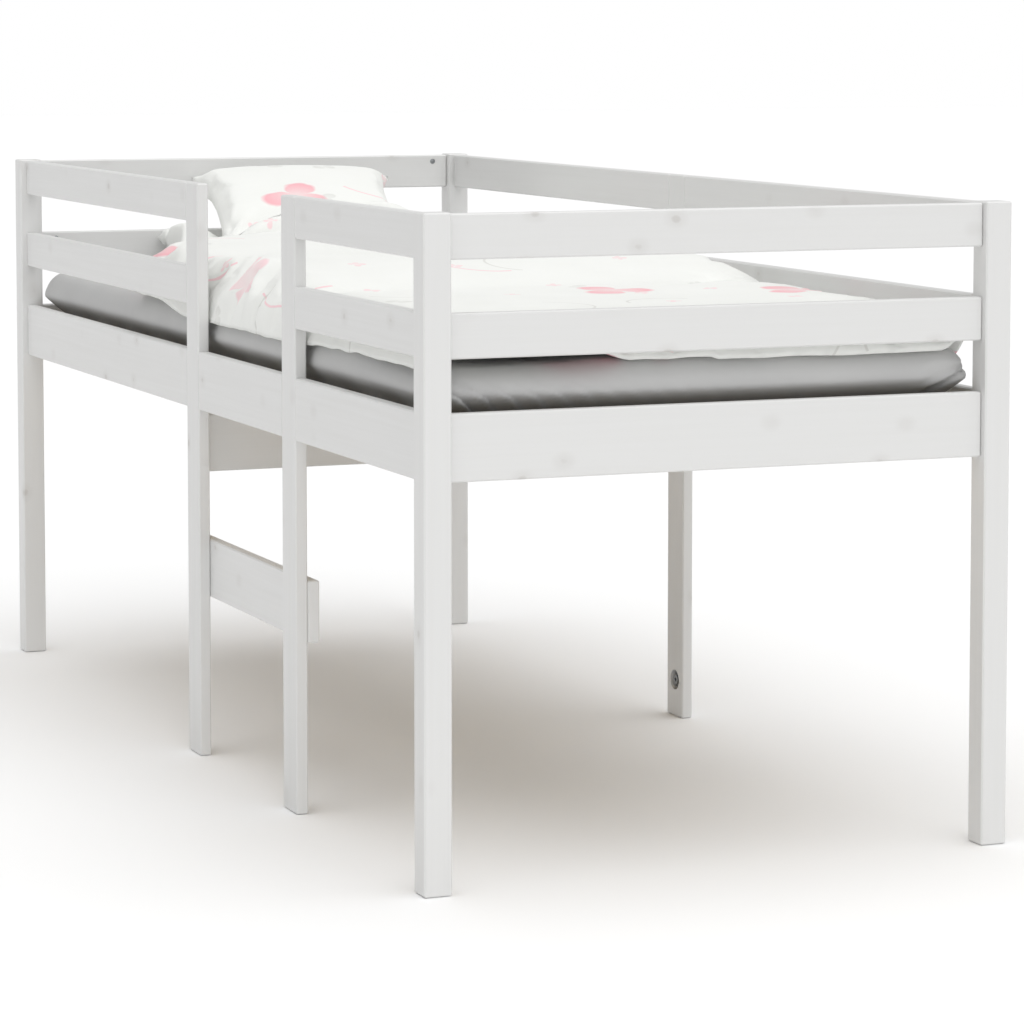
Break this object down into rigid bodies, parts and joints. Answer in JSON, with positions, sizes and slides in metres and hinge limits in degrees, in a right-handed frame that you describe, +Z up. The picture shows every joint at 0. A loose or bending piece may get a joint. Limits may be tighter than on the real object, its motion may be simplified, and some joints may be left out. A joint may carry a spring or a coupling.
{
  "type": "mid-height bed with ladder",
  "caption": "Mid-height sleeper in white painted pine with guard rails all round, an open ladder in one long side, slats, mattress, duvet and pillows.",
  "frame": {"origin": "on the floor under the middle of the bed", "axes": "+X along the bed towards the foot end, -Y to the ladder side, +Z up"},
  "size_m": [2.085, 0.865, 0.895],
  "materials": {
    "painted_pine": "white satin paint over pine, knots faintly showing",
    "slat_pine": "planed bare pine",
    "zinc_steel": "zinc plated steel",
    "sheet_cotton": "smooth pale grey cotton sheet",
    "duvet_cotton": null,
    "pillow_cotton": null
  },
  "bodies": {
    "root": {"connector_foot_far_side_end": "zinc_steel", "connector_foot_far_side_side": "zinc_steel", "connector_foot_ladder_side_end": "zinc_steel", "connector_foot_ladder_side_side": "zinc_steel", "connector_head_far_side_end": "zinc_steel", "connector_head_far_side_side": "zinc_steel", "connector_head_ladder_side_end": "zinc_steel", "connector_head_ladder_side_side": "zinc_steel", "connector_ladder_upright_middle": "zinc_steel", "connector_middle_leg": "zinc_steel", "cross_rail": "painted_pine", "duvet": "duvet_cotton", "far_side_bed_rail_foot": "painted_pine", "far_side_bed_rail_head": "painted_pine", "far_side_lower_guard_foot": "painted_pine", "far_side_lower_guard_head": "painted_pine", "far_side_upper_guard_foot": "painted_pine", "far_side_upper_guard_head": "painted_pine", "foot_bed_rail": "painted_pine", "foot_lower_guard": "painted_pine", "foot_upper_guard": "painted_pine", "head_bed_rail": "painted_pine", "head_lower_guard": "painted_pine", "head_upper_guard": "painted_pine", "ladder_rung": "painted_pine", "ladder_side_bed_rail_entry": "painted_pine", "ladder_side_bed_rail_foot": "painted_pine", "ladder_side_bed_rail_head": "painted_pine", "ladder_side_lower_guard_foot": "painted_pine", "ladder_side_lower_guard_head": "painted_pine", "ladder_side_upper_guard_foot": "painted_pine", "ladder_side_upper_guard_head": "painted_pine", "ladder_upright_foot": "painted_pine", "ladder_upright_middle": "painted_pine", "ledge_far_side_foot": "painted_pine", "ledge_far_side_head": "painted_pine", "ledge_ladder_side_foot": "painted_pine", "ledge_ladder_side_head": "painted_pine", "mattress": "sheet_cotton", "middle_leg": "painted_pine", "middle_leg_bolt": "zinc_steel", "pillow_lower": "pillow_cotton", "pillow_upper": "pillow_cotton", "post_foot_far_side": "painted_pine", "post_foot_ladder_side": "painted_pine", "post_head_far_side": "painted_pine", "post_head_ladder_side": "painted_pine", "slat_01": "slat_pine", "slat_02": "slat_pine", "slat_03": "slat_pine", "slat_04": "slat_pine", "slat_05": "slat_pine", "slat_06": "slat_pine", "slat_07": "slat_pine", "slat_08": "slat_pine", "slat_09": "slat_pine", "slat_10": "slat_pine", "slat_11": "slat_pine", "slat_12": "slat_pine"}
  },
  "joints": []
}
